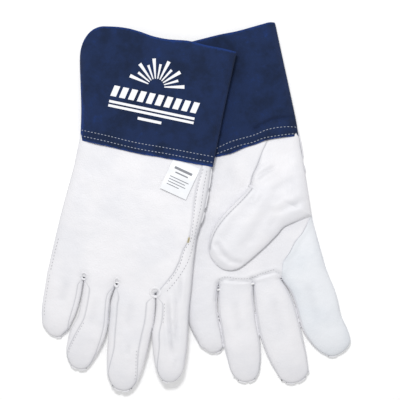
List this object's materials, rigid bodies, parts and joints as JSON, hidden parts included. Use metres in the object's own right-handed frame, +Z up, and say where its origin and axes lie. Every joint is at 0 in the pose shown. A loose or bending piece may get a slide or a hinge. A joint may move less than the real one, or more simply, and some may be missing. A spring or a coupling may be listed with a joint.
{
  "type": "welding gloves",
  "caption": "Pair of white grain leather welding gloves with navy suede gauntlet cuffs, sewn from separate panels, one palm down over the other.",
  "frame": {"origin": "centre of the pair's footprint, on the surface that the gloves lie on", "axes": "+Z up from the surface, +Y from the fingertips towards the cuffs, +X towards the left glove, which lies palm up under the right one"},
  "size_m": [0.2908, 0.3493, 0.0269],
  "materials": {
    "glove_leather": "smooth full-grain off-white leather, faintly creased, semi-matte",
    "cuff_suede": "navy blue split leather with a short mottled nap and raw edges",
    "cuff_thread": "pale heat-resistant sewing thread",
    "woven_label": "white woven tape, slightly glossy"
  },
  "bodies": {
    "right_glove": {"right_cuff_back": "cuff_suede", "right_cuff_palm": "cuff_suede", "right_cuff_stitching": "cuff_thread", "right_back_panel": "glove_leather", "right_palm_panel": "glove_leather", "right_thumb_wing": "glove_leather", "right_index_base": "glove_leather", "right_crotch_gussets": "glove_leather"},
    "left_glove": {"left_cuff_back": "cuff_suede", "left_cuff_palm": "cuff_suede", "left_cuff_stitching": "cuff_thread", "left_back_panel": "glove_leather", "left_palm_panel": "glove_leather", "left_thumb_wing": "glove_leather", "left_index_base": "glove_leather", "left_crotch_gussets": "glove_leather"},
    "right_little_finger": {"right_little_fourchette_ring_side": "glove_leather", "right_little_back": "glove_leather", "right_little_front": "glove_leather"},
    "left_little_finger": {"left_little_fourchette_ring_side": "glove_leather", "left_little_back": "glove_leather", "left_little_front": "glove_leather"},
    "right_ring_finger": {"right_ring_fourchette_little_side": "glove_leather", "right_ring_fourchette_middle_side": "glove_leather", "right_ring_back": "glove_leather", "right_ring_front": "glove_leather"},
    "left_ring_finger": {"left_ring_fourchette_little_side": "glove_leather", "left_ring_fourchette_middle_side": "glove_leather", "left_ring_back": "glove_leather", "left_ring_front": "glove_leather"},
    "right_middle_finger": {"right_middle_fourchette_ring_side": "glove_leather", "right_middle_fourchette_index_side": "glove_leather", "right_middle_back": "glove_leather", "right_middle_front": "glove_leather"},
    "left_middle_finger": {"left_middle_fourchette_ring_side": "glove_leather", "left_middle_fourchette_index_side": "glove_leather", "left_middle_back": "glove_leather", "left_middle_front": "glove_leather"},
    "right_index_finger": {"right_index_fourchette_middle_side": "glove_leather", "right_index_wrap": "glove_leather"},
    "left_index_finger": {"left_index_fourchette_middle_side": "glove_leather", "left_index_wrap": "glove_leather"},
    "right_thumb": {"right_thumb_outer": "glove_leather", "right_thumb_inner": "glove_leather"},
    "left_thumb": {"left_thumb_outer": "glove_leather", "left_thumb_inner": "glove_leather"},
    "care_label": {"right_care_label": "woven_label"}
  },
  "joints": [
    {"name": "right_glove_lift", "type": "slide", "parent": "left_glove", "child": "right_glove", "axis": [0, 0, 1], "range_m": [0, 0.12]},
    {"name": "left_little_curl", "type": "hinge", "parent": "left_glove", "child": "left_little_finger", "pos_m": [0.00491, -0.08447, 0.0114], "axis": [-0.9844, -0.1761, 0], "range_deg": [0, 12]},
    {"name": "left_ring_curl", "type": "hinge", "parent": "left_glove", "child": "left_ring_finger", "pos_m": [0.039, -0.07837, 0.0114], "axis": [-0.9844, -0.1761, 0], "range_deg": [0, 80]},
    {"name": "left_middle_curl", "type": "hinge", "parent": "left_glove", "child": "left_middle_finger", "pos_m": [0.07168, -0.07252, 0.0114], "axis": [-0.9844, -0.1761, 0], "range_deg": [0, 80]},
    {"name": "left_index_curl", "type": "hinge", "parent": "left_glove", "child": "left_index_finger", "pos_m": [0.10834, -0.06597, 0.0114], "axis": [-0.9844, -0.1761, 0], "range_deg": [0, 80]},
    {"name": "right_little_lift", "type": "hinge", "parent": "right_glove", "child": "right_little_finger", "pos_m": [-0.12408, -0.06443, 0.01247], "axis": [-0.9774, 0.1879, -0.0972], "range_deg": [0, 50]},
    {"name": "right_ring_lift", "type": "hinge", "parent": "right_glove", "child": "right_ring_finger", "pos_m": [-0.09022, -0.07094, 0.01584], "axis": [-0.9774, 0.1879, -0.0972], "range_deg": [0, 50]},
    {"name": "right_middle_lift", "type": "hinge", "parent": "right_glove", "child": "right_middle_finger", "pos_m": [-0.05778, -0.07717, 0.01907], "axis": [-0.9774, 0.1879, -0.0972], "range_deg": [0, 50]},
    {"name": "right_index_lift", "type": "hinge", "parent": "right_glove", "child": "right_index_finger", "pos_m": [-0.02142, -0.08416, 0.02268], "axis": [-0.9774, 0.1879, -0.0972], "range_deg": [0, 50]},
    {"name": "left_thumb_unfold", "type": "hinge", "parent": "left_glove", "child": "left_thumb", "pos_m": [0.07893, 0.00719, 0.0113], "axis": [-0.9078, 0.4195, 0], "range_deg": [0, 100]},
    {"name": "right_thumb_swing", "type": "hinge", "parent": "right_glove", "child": "right_thumb", "pos_m": [-0.04746, -0.00259, 0.0039], "axis": [0, 0, -1], "range_deg": [0, 8]},
    {"name": "label_flap", "type": "hinge", "parent": "right_glove", "child": "care_label", "pos_m": [-0.00716, 0.03886, 0.02542], "axis": [-0.9799, 0.1991, -0.0087], "range_deg": [0, 110]}
  ]
}
